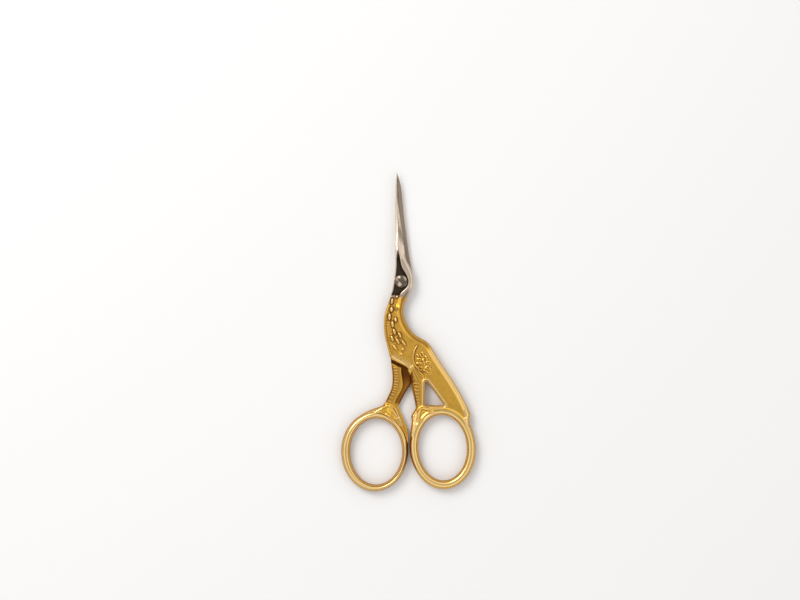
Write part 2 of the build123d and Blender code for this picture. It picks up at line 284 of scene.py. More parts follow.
@dataclass(frozen=True)
class Stroke:
    """A chased line over the face.

    Attributes:
        point_shares: Its plan points.
        width: Its half width.
        rise: Its height, or its depth below nought.
        moat: The depth of the groove on either side.
        broad: Whether it is flat on top and takes the place of what lies below it.
        rounding: How many times its corners are cut.
        end_shares: What is left of a fine and of a broad line at its ends.
        moat_shares: The groove's place and half width, in half widths of the line.
        cover_shares: Where a broad line's cover starts to fade and is gone, likewise.
        margin_share: How far out points are looked at, likewise.
    """

    point_shares: tuple[Row, ...]
    width: float
    rise: float
    moat: float = 0.0
    broad: bool = False
    rounding: int = 3
    end_shares: Row = (0.12, 0.6)
    moat_shares: Row = (1.9, 0.8)
    cover_shares: Row = (1.2, 1.8)
    margin_share: float = 4.0

    def line(self) -> np.ndarray:
        """Rounds the line by cutting the corners between its ends.

        Returns:
            Its plan points in metres.
        """
        points = np.array([place(pair) for pair in self.point_shares])
        for _ in range(self.rounding if len(points) > 2 else 0):
            quarters = np.empty((2 * len(points) - 2, 2))
            quarters[0::2] = 0.75 * points[:-1] + 0.25 * points[1:]
            quarters[1::2] = 0.25 * points[:-1] + 0.75 * points[1:]
            points = np.vstack([points[:1], quarters, points[-1:]])
        return points

    def reach(self, plan: np.ndarray) -> tuple[np.ndarray, np.ndarray, np.ndarray]:
        """Finds the plan points near the line.

        Args:
            plan: The plan points of the whole skin.

        Returns:
            Which points are near, their distance from the line, and how far
            along it they lie, from 0 to 1.
        """
        points = self.line()
        margin = self.margin_share * self.width
        near = np.all((plan > points.min(0) - margin) & (plan < points.max(0) + margin), axis=1)
        spots = plan[near]
        lengths = np.linalg.norm(np.diff(points, axis=0), axis=1)
        starts = np.concatenate([[0.0], np.cumsum(lengths)])
        best = np.full(len(spots), np.inf)
        along = np.zeros(len(spots))
        for first, second, length, start in zip(points[:-1], points[1:], lengths, starts):
            way = (second - first) / max(length, TINY)
            forward = np.clip((spots - first) @ way, 0.0, length)
            gap = np.linalg.norm(spots - first - forward[:, None] * way, axis=1)
            closer = gap < best
            best[closer] = gap[closer]
            along[closer] = start + forward[closer]
        return near, best, along / max(starts[-1], TINY)

    def relief(self, plan: np.ndarray) -> np.ndarray:
        """The height that the line adds.

        Args:
            plan: The plan points of the whole skin.

        Returns:
            The height at each of them.
        """
        near, distance, along = self.reach(plan)
        taper = np.sqrt(np.clip(4 * along * (1 - along), self.end_shares[self.broad], 1.0))
        part = distance / (self.width * taper)
        hump = self.rise * bell(part**2 if self.broad else part)
        away, spread = self.moat_shares
        height = np.zeros(len(plan))
        height[near] = (hump - self.moat * bell((distance / self.width - away) / spread)) * taper
        return height

    def cover(self, plan: np.ndarray) -> np.ndarray:
        """How far a broad line takes the place of what lies below it.

        Args:
            plan: The plan points of the whole skin.

        Returns:
            A share at each of them, from 0 to 1.
        """
        cover = np.zeros(len(plan))
        if self.broad:
            near, distance, _ = self.reach(plan)
            cover[near] = 1 - smoothstep(distance / self.width, *self.cover_shares)
        return cover


@dataclass
class Skin:
    """A dense skin's points, and the steps that carve it."""

    piece: bpy.types.Object
    least_face: float = 0.001

    def __post_init__(self) -> None:
        """Reads the piece's points and edges."""
        mesh = self.piece.data
        self.count = len(mesh.vertices)
        self.rows = self.read(mesh.vertices, "co").astype(float)
        ends = np.empty(len(mesh.edges) * 2, dtype=np.int32)
        mesh.edges.foreach_get("vertices", ends)
        self.first, self.second = ends[0::2], ends[1::2]
        self.shares = 1.0 / np.maximum(
            np.bincount(self.first, minlength=self.count) + np.bincount(self.second, minlength=self.count), 1
        )
        self.normals = self.read_normals()

    def read(self, owner: bpy.types.bpy_prop_collection, name: str) -> np.ndarray:
        """Reads one vector of every item.

        Args:
            owner: The items.
            name: The vector's name.

        Returns:
            One row for each item.
        """
        flat = np.empty(len(owner) * 3, dtype=np.float32)
        owner.foreach_get(name, flat)
        return flat.reshape(-1, 3)

    def read_normals(self) -> np.ndarray:
        """Reads the vertex normals."""
        return self.read(self.piece.data.vertex_normals, "vector").astype(float)

    def write(self) -> None:
        """Writes the moved points back and reads the new normals."""
        self.piece.data.vertices.foreach_set("co", self.rows.astype(np.float32).ravel())
        self.piece.data.update()
        self.normals = self.read_normals()

    def blur(self, values: np.ndarray, rounds: int) -> np.ndarray:
        """Averages a value with its neighbours', again and again.

        Args:
            values: One number for each point.
            rounds: How many times.

        Returns:
            The averaged numbers.
        """
        for _ in range(rounds):
            total = np.bincount(self.first, weights=values[self.second], minlength=self.count)
            total += np.bincount(self.second, weights=values[self.first], minlength=self.count)
            values = 0.5 * values + 0.5 * total * self.shares
        return values

    def relax(self, rounds: int, weight: np.ndarray) -> None:
        """Evens the points out.

        Args:
            rounds: How many times.
            weight: How far each point moves.
        """
        for axis in range(3):
            column = self.rows[:, axis]
            self.rows[:, axis] = column + weight * (self.blur(column, rounds) - column)

    def top(self, floor: float) -> np.ndarray:
        """How far each point lies on a face that looks up, above a height."""
        return smoothstep(self.normals[:, 2], *FACE_TILTS) * (self.rows[:, 2] > floor)

    def nearest_walls(self, band: Row) -> tuple[np.ndarray, np.ndarray, np.ndarray]:
        """Finds the nearest outer wall to every point, in plan.

        Args:
            band: The lowest and highest height at which walls are looked for.

        Returns:
            The walls' point numbers, the number among them of each point's
            nearest, and its distance.
        """
        heights = self.rows[:, 2]
        wall = np.abs(self.normals[:, 2]) < WALL_TILT
        chosen = np.nonzero(wall & (heights > band[0]) & (heights < band[1]))[0]
        tree = kdtree.KDTree(len(chosen))
        for number, (across, up) in enumerate(self.rows[chosen, :2]):
            tree.insert((across, up, 0.0), number)
        tree.balance()
        nearest = np.empty(self.count, dtype=int)
        distance = np.empty(self.count)
        for number, (across, up) in enumerate(self.rows[:, :2]):
            _, nearest[number], distance[number] = tree.find((across, up, 0.0))
        return chosen, nearest, distance

    def level(self, face: np.ndarray, rounds: int) -> np.ndarray:
        """The height of the face around each point, with the walls left out.

        Args:
            face: How far each point lies on the face.
            rounds: How many times the height is averaged.

        Returns:
            The height at each point.
        """
        total = self.blur(self.rows[:, 2] * face, rounds)
        return total / np.maximum(self.blur(face, rounds), self.least_face)

    def give(self, name: str, values: np.ndarray) -> None:
        """Stores one number for each point, for the material to read."""
        attribute = self.piece.data.attributes.new(name, "FLOAT", "POINT")
        attribute.data.foreach_set("value", np.clip(values, 0.0, 1.0).astype(np.float32))

    def keep_normals(self) -> None:
        """Stores the skin's normals, so that its cut pieces still shade as one."""
        attribute = self.piece.data.attributes.new(KEPT_NORMALS, "FLOAT_VECTOR", "POINT")
        attribute.data.foreach_set("vector", self.normals.astype(np.float32).ravel())


def restore_normals(piece: bpy.types.Object) -> None:
    """Shades a cut piece by the normals that the whole skin had, and its caps flat.

    Args:
        piece: The cut piece.
    """
    mesh = piece.data
    activate(piece)
    bpy.ops.object.shade_smooth()
    kept = np.empty(len(mesh.vertices) * 3, dtype=np.float32)
    mesh.attributes[KEPT_NORMALS].data.foreach_get("vector", kept)
    mesh.attributes.remove(mesh.attributes[KEPT_NORMALS])
    numbers = np.empty(len(mesh.loops), dtype=np.int32)
    mesh.loops.foreach_get("vertex_index", numbers)
    corners = kept.reshape(-1, 3)[numbers]
    sides = np.empty(len(mesh.polygons), dtype=np.int32)
    mesh.polygons.foreach_get("loop_total", sides)
    flat = np.empty(len(mesh.polygons) * 3, dtype=np.float32)
    mesh.polygons.foreach_get("normal", flat)
    facing = np.repeat(flat.reshape(-1, 3), sides, axis=0)
    cap = np.abs(facing[:, 1]) > CAP_TILT
    corners[cap] = facing[cap]
    mesh.normals_split_custom_set(corners)


class NodeBench:
    """A short way to lay out shader nodes."""

    def __init__(self, owner: bpy.types.ID) -> None:
        """Empties a node tree.

        Args:
            owner: The new material or world that has it.
        """
        owner.use_nodes = True
        self.owner = owner
        self.tree = owner.node_tree
        self.tree.nodes.clear()

    def fill(self, socket: bpy.types.NodeSocket, value: object) -> None:
        """Sets a socket to a value, or links it.

        Args:
            socket: The input.
            value: A number, a colour, a vector or another node's output.
        """
        if isinstance(value, bpy.types.NodeSocket):
            self.tree.links.new(value, socket)
        else:
            socket.default_value = value

    def add(self, kind: str, settings: dict | None = None, **sockets: object) -> bpy.types.Node:
        """Adds a node.

        Args:
            kind: The node's type, without its ShaderNode prefix.
            settings: The node's own settings.
            sockets: Values or links by input name, with underscores for spaces.

        Returns:
            The new node.
        """
        node = self.tree.nodes.new("ShaderNode" + kind)
        for key, value in (settings or {}).items():
            setattr(node, key, value)
        for key, value in sockets.items():
            self.fill(node.inputs[key.replace("_", " ")], value)
        return node

    def math(self, operation: str, *values: object, clamp: bool = True) -> bpy.types.NodeSocket:
        """Adds a Math node.

        Args:
            operation: What it does.
            values: Its inputs in order.
            clamp: Whether the result is held between 0 and 1.

        Returns:
            The result.
        """
        node = self.add("Math", {"operation": operation, "use_clamp": clamp})
        for socket, value in zip(node.inputs, values):
            self.fill(socket, value)
        return node.outputs[0]

    def mix(self, factor: object, first: object, second: object) -> bpy.types.NodeSocket:
        """Mixes two colours.

        Args:
            factor: How far the second counts.
            first: The first colour.
            second: The second colour.

        Returns:
            The colour between them.
        """
        node = self.add("Mix", {"data_type": "RGBA"})
        for number, value in zip((0, 6, 7), (factor, first, second)):
            self.fill(node.inputs[number], value)
        return node.outputs[2]

    def coat(self, base: object, coats: tuple[tuple, ...]) -> bpy.types.NodeSocket:
        """Lays colours over another.

        Args:
            base: The lowest colour.
            coats: Rows of where a colour lies, how far it covers there, and the colour.

        Returns:
            The colour of them all.
        """
        for where, share, colour in coats:
            base = self.mix(self.math("MULTIPLY", where, share), base, colour)
        return base

    def spread(self, value: object, low: float, high: float) -> bpy.types.NodeSocket:
        """A value stretched so that low gives 0 and high gives 1."""
        return self.add("MapRange", Value=value, From_Min=low, From_Max=high).outputs[0]

    def attribute(self, name: str) -> bpy.types.NodeSocket:
        """A number that the piece holds at each point."""
        return self.add("Attribute", {"attribute_name": name}).outputs["Fac"]

    def noise(self, where: object, scale: float, detail: float) -> bpy.types.NodeSocket:
        """Cloudy noise between 0 and 1."""
        return self.add("TexNoise", Vector=where, Scale=scale, Detail=detail).outputs["Fac"]

    def close(self, **sockets: object) -> bpy.types.Material:
        """Adds the surface shader and the output.

        Args:
            sockets: The shader's values or links by input name.

        Returns:
            The finished material.
        """
        shader = self.add("BsdfPrincipled", **sockets)
        self.add("OutputMaterial", Surface=shader.outputs[0])
        return self.owner


@dataclass(frozen=True)
class Finish:
    """Gold plate over a forging that is left bare from the neck up.

    The same finish dresses handles and blades, so that the plate fades into the
    bare steel with no line between them. Each share says how far a mask counts.
    """

    gold: Row = (0.90, 0.49, 0.05, 1.0)
    # Besides their own tones, the pale gold serves as painted highlight, and the deep gold, the dark
    # red-brown, the dark steel and the near black serve as painted shade.
    pale_gold: Row = (1.0, 0.79, 0.44, 1.0)
    deep_gold: Row = (0.27, 0.10, 0.014, 1.0)
    patina_and_shade: Row = (0.115, 0.026, 0.006, 1.0)
    steel: Row = (0.87, 0.715, 0.58, 1.0)
    dark_steel: Row = (0.42, 0.32, 0.235, 1.0)
    shade_and_grime: Row = (0.022, 0.013, 0.006, 1.0)
    gold_mottle_share: float = 0.15
    wear_and_highlight_share: float = 0.75
    gold_wall_shade_share: float = 0.85
    gold_dull_shade_share: float = 0.8
    patina_and_shade_share: float = 0.95
    steel_mottle_share: float = 0.45
    steel_wall_shade_share: float = 0.5
    steel_dull_shade_share: float = 0.7
    shade_and_grime_share: float = 1.0
    plate_edge: float = -4.4 * MM
    plate_fade: float = 1.5 * MM
    mottle_scale: float = 800.0
    grain_scale: float = 5200.0
    fine_detail: float = 3.0
    grain_detail: float = 2.0
    stretch: float = 0.07
    roughness: float = 0.17
    mottle_roughness: float = 0.14
    hollow_roughness: float = 0.3
    dull_roughness: float = 0.25
    grain_share: float = 0.35
    bump_strength: float = 0.3
    bump_height: float = 0.01 * MM

    def material(self) -> bpy.types.Material:
        """Builds the finish from its colours and scales.

        Returns:
            The material.
        """
        bench = NodeBench(bpy.data.materials.new("plated_forging"))
        where = bench.add("TexCoord").outputs["Object"]
        height = bench.add("SeparateXYZ", Vector=where).outputs["Y"]
        mottle = bench.noise(where, self.mottle_scale, self.fine_detail)
        grain = bench.noise(where, self.grain_scale, self.grain_detail)
        drawn = bench.add("Mapping", Vector=where, Scale=(self.stretch, 1.0, 1.0)).outputs[0]
        lines = bench.noise(drawn, self.grain_scale, self.fine_detail)
        hollow, wear_and_highlight, wall_shade, dull_and_shade = (bench.attribute(name) for name in ("hollow", "wear_and_highlight", "wall_shade", "dull_and_shade"))
        shift = bench.math("MULTIPLY_ADD", mottle, self.plate_fade, height, clamp=False)
        bare = bench.spread(shift, self.plate_edge, self.plate_edge + self.plate_fade)
        # Gold: pale over raised points and rims is wear and painted highlight; deep gold on steep walls is
        # painted shade, and on ground faces partly so; the dark red-brown is stain in hollows and painted
        # shade on dark rims and the step.
        gold = bench.coat(self.gold, (
            (mottle, self.gold_mottle_share, self.pale_gold),
            (wear_and_highlight, self.wear_and_highlight_share, self.pale_gold),
            (wall_shade, self.gold_wall_shade_share, self.deep_gold),
            (dull_and_shade, self.gold_dull_shade_share, self.deep_gold),
            (hollow, self.patina_and_shade_share, self.patina_and_shade),
        ))
        # Steel: dark steel on steep walls and ground faces is painted shade, and the near black is stain in
        # hollows and painted shade in the recess and on the rear inner face.
        steel = bench.coat(self.steel, (
            (mottle, self.steel_mottle_share, self.dark_steel),
            (wall_shade, self.steel_wall_shade_share, self.dark_steel),
            (dull_and_shade, self.steel_dull_shade_share, self.dark_steel),
            (hollow, self.shade_and_grime_share, self.shade_and_grime),
        ))
        tone = bench.mix(bare, gold, steel)
        rough = bench.math("MULTIPLY_ADD", mottle, self.mottle_roughness, self.roughness)
        rough = bench.math("MULTIPLY_ADD", hollow, self.hollow_roughness, rough)
        rough = bench.math("MULTIPLY_ADD", dull_and_shade, self.dull_roughness, rough)
        ground = bench.math("MULTIPLY", lines, bare)
        relief = bench.math("MULTIPLY_ADD", grain, self.grain_share, ground)
        bump = bench.add("Bump", Height=relief, Strength=self.bump_strength, Distance=self.bump_height)
        return bench.close(Base_Color=tone, Metallic=1.0, Roughness=rough, Normal=bump.outputs[0])


@dataclass(frozen=True)
class BladeForm:
    """A blade's sections from heel to point.

    Attributes:
        section_shares: Rows of the way along, the spine's way and the edge's way
            across to the point, and the share of the height left at the edge.
        heels: The spine's and the edge's places across at the heel.
        points: Their places across at the point.
        floor: The height of the flat inner face.
        rise: 1 where the blade stands on that face, and -1 where it hangs from it.
        thickness: The height of the heel.
        reach: The point's place along.
        heel: The heel's place along.
        tip_thickness: The height of the point.
        land: The least height of the edge.
        ridge_share: The ridge's place between the spine and the edge.
        spine_share: The spine's height, where the blade is ground.
        hollow: How far the ground face is hollow.
        stations: How many sections there are.
        easing: How many times the sections' shares are averaged.
        weld: At which the point's corners are merged.
    """

    section_shares: tuple[Row, ...]
    heels: Row
    points: Row
    floor: float
    rise: int
    thickness: float
    reach: float
    heel: float = 6.5 * MM
    tip_thickness: float = 0.4 * MM
    land: float = 0.12 * MM
    ridge_share: float = 0.36
    spine_share: float = 0.78
    hollow: float = 0.02 * MM
    stations: int = 90
    easing: int = 14
    weld: float = 0.0005 * MM

    def ways(self) -> tuple[np.ndarray, np.ndarray]:
        """Eases the rows of shares into sections.

        Returns:
            Every section's way along, and its row of shares.
        """
        rows = np.array(self.section_shares)
        along = np.linspace(0.0, 1.0, self.stations)
        shares = np.column_stack([np.interp(along, rows[:, 0], rows[:, column]) for column in (1, 2, 3)])
        for _ in range(self.easing):
            shares[1:-1] = (shares[:-2] + 2 * shares[1:-1] + shares[2:]) / 4
        return along, shares

    def section(self, along: float, shares: np.ndarray) -> np.ndarray:
        """Lays out one section.

        Args:
            along: Its way along the blade, from 0 to 1.
            shares: Its row of shares.

        Returns:
            Its corners, across and up, from the inner face round the back.
        """
        height = self.thickness + along * (self.tip_thickness - self.thickness)
        spine = self.heels[0] + shares[0] * (self.points[0] - self.heels[0])
        edge = self.heels[1] + shares[1] * (self.points[1] - self.heels[1])
        ridge = spine + self.ridge_share * (edge - spine)
        land = max(shares[2] * height, self.land)
        shoulder = height * (self.spine_share + (1 - self.spine_share) * shares[2])
        grind = self.hollow * (1 - shares[2])
        corners = (
            (spine, 0.0),
            (spine, shoulder / 2),
            (spine, shoulder),
            ((spine + ridge) / 2, (shoulder + height) / 2),
            (ridge, height),
            (ridge + (edge - ridge) / 3, height + (land - height) / 3 - grind),
            (ridge + (edge - ridge) * 2 / 3, height + (land - height) * 2 / 3 - grind),
            (edge, land),
            (edge, 0.0),
            ((spine + edge) / 2, 0.0),
            (spine, 0.0),
        )
        return np.array([(across, self.floor + self.rise * up) for across, up in corners])

    def build(self, name: str) -> bpy.types.Object:
        """Bends a grid round the sections and closes it into a blade.

        Args:
            name: The blade's name.

        Returns:
            The closed blade.
        """
        along, shares = self.ways()
        sections = np.array([self.section(way, share) for way, share in zip(along, shares)])
        columns = sections.shape[1] - 1
        bpy.ops.object.select_all(action="DESELECT")
        bpy.ops.mesh.primitive_grid_add(x_subdivisions=columns, y_subdivisions=self.stations - 1, size=1.0)
        piece = bpy.context.object
        piece.name = name
        for vertex in piece.data.vertices:
            column = round((vertex.co.x + 0.5) * columns)
            station = round((vertex.co.y + 0.5) * (self.stations - 1))
            across, up = sections[station, column]
            vertex.co = (across, self.heel + along[station] * (self.reach - self.heel), up)
        with edit_mode(piece):
            bpy.ops.mesh.remove_doubles(threshold=self.weld)
            bpy.ops.mesh.fill_holes(sides=0)
            bpy.ops.mesh.normals_make_consistent(inside=False)
        return piece


@dataclass(frozen=True)
class Ground:
    """A punched ground of round pits, in leaning rows that stray a little.

    Attributes:
        depth: The depth of a pit.
        radius: Its half width.
        spacing: The distance between two pits of a row.
        row_share: The distance between two rows, as a share of the spacing.
        stray_share: How far a pit strays from its place, likewise.
        lean: How the rows lean.
        seed: What the straying starts from.
        least: How little ground is still looked at.
    """

    depth: float = 0.07 * MM
    radius: float = 0.2 * MM
    spacing: float = 0.66 * MM
    row_share: float = 0.87
    stray_share: float = 0.2
    lean: float = math.radians(-60)
    seed: int = 7
    least: float = 0.01

    def dots(self) -> kdtree.KDTree:
        """Lays out the middles of the pits, all over the body.

        Returns:
            A tree of them, in plan.
        """
        rows = math.ceil(BODY_REACH / self.spacing)
        dots = kdtree.KDTree((2 * rows) ** 2)
        lean = np.array([math.cos(self.lean), math.sin(self.lean)])
        strewn = np.random.default_rng(self.seed)
        for row in range(-rows, rows):
            for number in range(-rows, rows):
                step = np.array([number + 0.5 * (row % 2), row * self.row_share])
                step += strewn.uniform(-self.stray_share, self.stray_share, 2)
                across, up = self.spacing * (step[0] * lean + step[1] * lean[::-1] * (-1, 1))
                dots.insert((across, up - BODY_REACH / 2, 0.0), 0)
        dots.balance()
        return dots

    def pits(self, skin: Skin, where: np.ndarray) -> np.ndarray:
        """Punches the pits.

        Args:
            skin: The skin.
            where: How far each point lies on the ground.

        Returns:
            How deep each point lies in a pit, from 0 to 1.
        """
        dots = self.dots()
        gaps = np.zeros(skin.count)
        for number in np.nonzero(where > self.least)[0]:
            across, up, _ = skin.rows[number]
            gaps[number] = dots.find((across, up, 0.0))[2]
        return where * bell(gaps / self.radius)


@dataclass(frozen=True)
class Wear:
    """How handling wears the plate, where highlight and shade are painted on it, and how stain settles beside
    what stands proud.

    A pair says where an effect starts and where it is whole, a share says how far
    it counts, and rounds say how far around a point is looked at.
    """

    close: Row = (0.01 * MM, 0.06 * MM)        # that a point stands above what is close, to be made pale by wear and painted highlight
    close_share: float = 0.45
    close_rounds: int = 10
    wide: Row = (0.03 * MM, 0.12 * MM)         # that it stands above the face around it
    wide_share: float = 0.6
    wide_rounds: int = 60
    spared_shares: Row = (0.1, 0.5)            # of the body's reach, where marks get less wear and painted highlight
    spared_share: float = 0.7
    hollow: Row = (0.015 * MM, 0.07 * MM)      # that a stained point lies below what is close
    # Painted shade on steep walls, between these upright shares of the normal
    wall_shade_tilts: Row = (0.2, 0.85)
    stain_gain: float = 7.0                    # of the stain around the marks
    stain_rounds: int = 16
    pale_stain_shares: Row = (0.38, 0.54)      # of the body's reach, where that stain gets weaker
    pale_stain_share: float = 0.45
    rim_place_share: float = 0.85              # of a rolled edge's width, where its rim lies, pale from wear and painted highlight, dark from painted shade below nought
    rim_width_share: float = 0.5
    clean_share: float = 1.3                   # of the stain that handling rubs off beside a rim
    clean_width_share: float = 1.4
    pit_share: float = 0.5
    groove_share: float = 0.65


@dataclass
class Margin:
    """What each point of a skin has from the nearest wall of the outline.

    Attributes:
        down: How far below the pivot the point lies.
        distance: How far it lies from the wall.
        width: The width of the wall's edge, and so on for the other sizes of Edge.
    """

    down: np.ndarray
    distance: np.ndarray
    width: np.ndarray
    drop: np.ndarray
    blend: np.ndarray
    lip: np.ndarray
    worn: np.ndarray


@dataclass
class Chasing:
    """How far each point of a skin was worked.

    Attributes:
        face: How far it lies on the upper face.
        carved: How far it lies on the carved stretch.
        mark: How far it belongs to a mark that the frame already has.
        crowd: How crowded the marks are around it.
        relief: The height that the strokes gave it.
        pits: How deep it lies in a pit.
    """

    face: np.ndarray
    carved: np.ndarray
    mark: np.ndarray
    crowd: np.ndarray
    relief: np.ndarray
    pits: np.ndarray


@dataclass
class ForgedHalf:
    """One forging: a plated handle and a bare head and blade.

    A pair says where an effect starts and where it is whole, and rounds say how
    many times points are averaged.
    """

    node: bpy.types.Object
    body: Body
    form: BladeForm
    edges: tuple[Edge, ...]
    strokes: tuple[Stroke, ...]
    wall_band: Row                             # of heights where the outline's walls are found
    face_floor: float                          # below every upper face
    roll_base: float                           # down to which the edges are rolled
    roll_ceiling: float                        # of the highest rim
    voxel: float = 0.11 * MM
    blade_join: float = 9.3 * MM
    blade_cut: float = 10.3 * MM
    blade_overrun: float = 1 * MM              # of the skin past that cut
    plate_cut: float = -3.95 * MM
    bow_cut: float = -36.4 * MM
    overlap: float = 0.1 * MM
    settled_rounds: int = 3
    settled_fade: float = 1.5 * MM             # below the blade, where the skin starts to settle
    head_rounds: int = 8
    head: Row = (-3.5 * MM, -2.5 * MM)
    bow_middle: float = 1.65 * MM
    bow_reach: float = 35.6 * MM
    bow_fade: float = 0.5 * MM
    back_start: float = 3 * MM
    back_fade: float = 3 * MM
    back_fall: float = 0.4 * MM
    back_roll: float = 0.45 * MM
    back_depth: float = 1.0 * MM
    back_inset: Row = (0.9 * MM, 1.3 * MM)
    margin_rounds: int = 12
    carved_start: Row = (3 * MM, 4.5 * MM)
    carved_end: Row = (-1 * MM, 0.5 * MM)      # from the bow's reach
    proud: Row = (0.03 * MM, 0.1 * MM)         # that a mark stands above the face around it
    proud_rounds: int = 110
    mark_share: float = 0.82                   # of the blend, within which nothing is a mark
    mark_inset: float = 0.3 * MM
    upper_step: float = 0.3 * MM
    upper_inset: Row = (0.25 * MM, 0.45 * MM)
    soft_shares: Row = (0.85, 1.2)             # of the blend
    soft_rounds: int = 60
    plan_rounds: int = 40
    lip_width: float = 0.3 * MM
    lip_headroom: float = 0.4 * MM
    moat_depth: float = 0.11 * MM
    moat_gain: float = 2.4
    moat_rounds: int = 8
    crowd_gain: float = 9.0                    # by which marks keep the punched ground away
    crowd_rounds: int = 20
    ground_start: Row = (4.8 * MM, 5.6 * MM)
    ground_inset: Row = (0.3 * MM, 0.8 * MM)
    ground_shares: Row = (0.55, 0.75)          # of the blend, which the inset adds to
    last_rounds: int = 2
    last_share: float = 0.7
    edge_break: float = 0.035 * MM
    edge_segments: int = 2
    edge_angle: float = math.radians(16)
    smooth_angle: float = math.radians(55)
    flat_weight: int = 100
    # Painted shade on the ground inner face of a blade, and on the bare joint face near the pivot
    inner_shade_share: float = 0.42
    ground: Ground = Ground()
    wear: Wear = Wear()

    def blank(self, blade: bpy.types.Object) -> bpy.types.Object:
        """Joins the frame's solid below the blade to the new blade.

        Args:
            blade: The finished blade, which stays.

        Returns:
            One mesh of both, which overlap a little.
        """
        lower = merged_copy(self.node, f"{self.body.value}_blank")
        upper = copy_of(blade, "blank_blade")
        cut(lower, self.blade_join + self.overlap, Keep.BELOW)
        cut(upper, self.blade_join - self.overlap, Keep.ABOVE)
        activate(lower, upper)
        bpy.ops.object.join()
        return lower

    def skin_of(self, blank: bpy.types.Object) -> Skin:
        """Covers the blank with one dense even skin, drawn onto its surface.

        Args:
            blank: The blank.

        Returns:
            The skin.
        """
        piece = copy_of(blank, f"{self.body.value}_handle")
        cut(piece, self.blade_cut + self.blade_overrun, Keep.BELOW)
        voxel_remesh(piece, self.voxel)
        wrap = piece.modifiers.new("wrap", "SHRINKWRAP")
        wrap.target = blank
        wrap.wrap_method = "NEAREST_SURFACEPOINT"
        apply_modifiers(piece)
        return Skin(piece)

    def margin(self, skin: Skin) -> Margin:
        """Finds the edge of the outline that each point belongs to.

        Args:
            skin: The skin.

        Returns:
            The distances and the edges' sizes at each point.
        """
        chosen, nearest, distance = skin.nearest_walls(self.wall_band)
        spots, facing = skin.rows[chosen], skin.normals[chosen]
        total = np.full(len(chosen), TINY)
        sizes = np.zeros((len(EDGE_SIZES), len(chosen)))
        for edge in self.edges:
            weight = edge.weight(spots, facing)
            total += weight
            sizes += weight * np.array([[getattr(edge, name)] for name in EDGE_SIZES])
        sizes = (sizes / total)[:, nearest]
        return Margin(-skin.rows[:, 1], distance, *(skin.blur(size, self.margin_rounds) for size in sizes))

    def soften(self, skin: Skin, margin: Margin) -> np.ndarray:
        """Smooths the face behind the outline and raises its lips.

        Args:
            skin: The skin, changed in place.
            margin: Its margin.

        Returns:
            How far each point belongs to a mark that the frame already has.
        """
        heights, plan = skin.rows[:, 2], skin.rows[:, :2]
        face = skin.top(self.face_floor)
        cover = np.max([stroke.cover(plan) for stroke in self.strokes] + [np.zeros(skin.count)], axis=0)
        proud = heights - skin.level(face, self.proud_rounds)
        mark = smoothstep(proud, *self.proud) * face * (1 - cover)
        inner = margin.blend * self.mark_share
        mark *= smoothstep(margin.distance, inner, inner + self.mark_inset)
        upper = (heights > self.face_floor + self.upper_step) * smoothstep(margin.distance, *self.upper_inset)
        near, far = (margin.blend * share for share in self.soft_shares)
        soft = upper * (1 - smoothstep(margin.distance, near, far + TINY)) * (1 - mark)
        even = np.maximum(soft, cover * face)
        heights += even * (skin.level(face, self.soft_rounds) - heights)
        for column in skin.rows.T[:2]:
            column += even * (skin.blur(column.copy(), self.plan_rounds) - column)
        low = heights < self.roll_ceiling - self.lip_headroom
        heights += margin.lip * face * bell(margin.distance / self.lip_width) * low
        return mark

    def roll_edges(self, skin: Skin, margin: Margin) -> None:
        """Rolls the outline's edges over, and rounds the bow's band on both faces.

        Args:
            skin: The skin, changed in place.
            margin: Its margin.
        """
        inward = 1 - np.clip(margin.distance / np.maximum(margin.width, TINY), 0.0, 1.0)
        fall = margin.drop * (1 - np.sqrt(1 - inward * inward))
        down, heights = -skin.rows[:, 1], skin.rows[:, 2]
        bow = smoothstep(down, self.bow_reach - self.bow_fade, self.bow_reach + self.bow_fade)
        base = self.roll_base + bow * (self.bow_middle - self.roll_base)
        above = heights > base
        squeeze = 1 - fall / (self.roll_ceiling - base)
        heights[above] = (base + (heights - base) * squeeze)[above]
        handle = smoothstep(down, self.back_start, self.back_start + self.back_fade)
        fall = np.maximum(bow * fall, handle * self.back_fall * bell(margin.distance / self.back_roll))
        below = heights < self.bow_middle
        heights[below] = (self.bow_middle + (heights - self.bow_middle) * (1 - fall / self.bow_middle))[below]
        skin.write()

    def chase(self, skin: Skin, margin: Margin, mark: np.ndarray) -> Chasing:
        """Cuts grooves round the marks, chases the strokes and punches the ground.

        Args:
            skin: The skin, changed in place.
            margin: Its margin.
            mark: How far each point belongs to a mark.

        Returns:
            How far each point was worked.
        """
        heights, plan = skin.rows[:, 2], skin.rows[:, :2]
        face = skin.top(self.face_floor)
        start, end = (self.bow_reach + step for step in self.carved_end)
        carved = smoothstep(margin.down, *self.carved_start) * (1 - smoothstep(margin.down, start, end))
        moat = skin.blur(mark, self.moat_rounds) * (1 - mark) * face * carved
        heights -= self.moat_depth * np.clip(self.moat_gain * moat, 0.0, 1.0)
        relief = np.zeros(skin.count)
        for stroke in self.strokes:
            relief += stroke.relief(plan)
        crowd = skin.blur(mark, self.crowd_rounds)
        insets = zip(self.ground_shares, self.ground_inset)
        near, far = (margin.blend * share + inset for share, inset in insets)
        plain = face * carved * (1 - np.clip(self.crowd_gain * crowd, 0.0, 1.0))
        plain *= smoothstep(margin.down, *self.ground_start) * smoothstep(margin.distance, near, far)
        back = smoothstep(-skin.normals[:, 2], *FACE_TILTS) * (heights < self.back_depth) * carved
        back *= smoothstep(margin.distance, *self.back_inset)
        pits = self.ground.pits(skin, plain + back)
        heights += relief * face + self.ground.depth * pits * (back - plain)
        return Chasing(face, carved, mark, crowd, relief, pits)

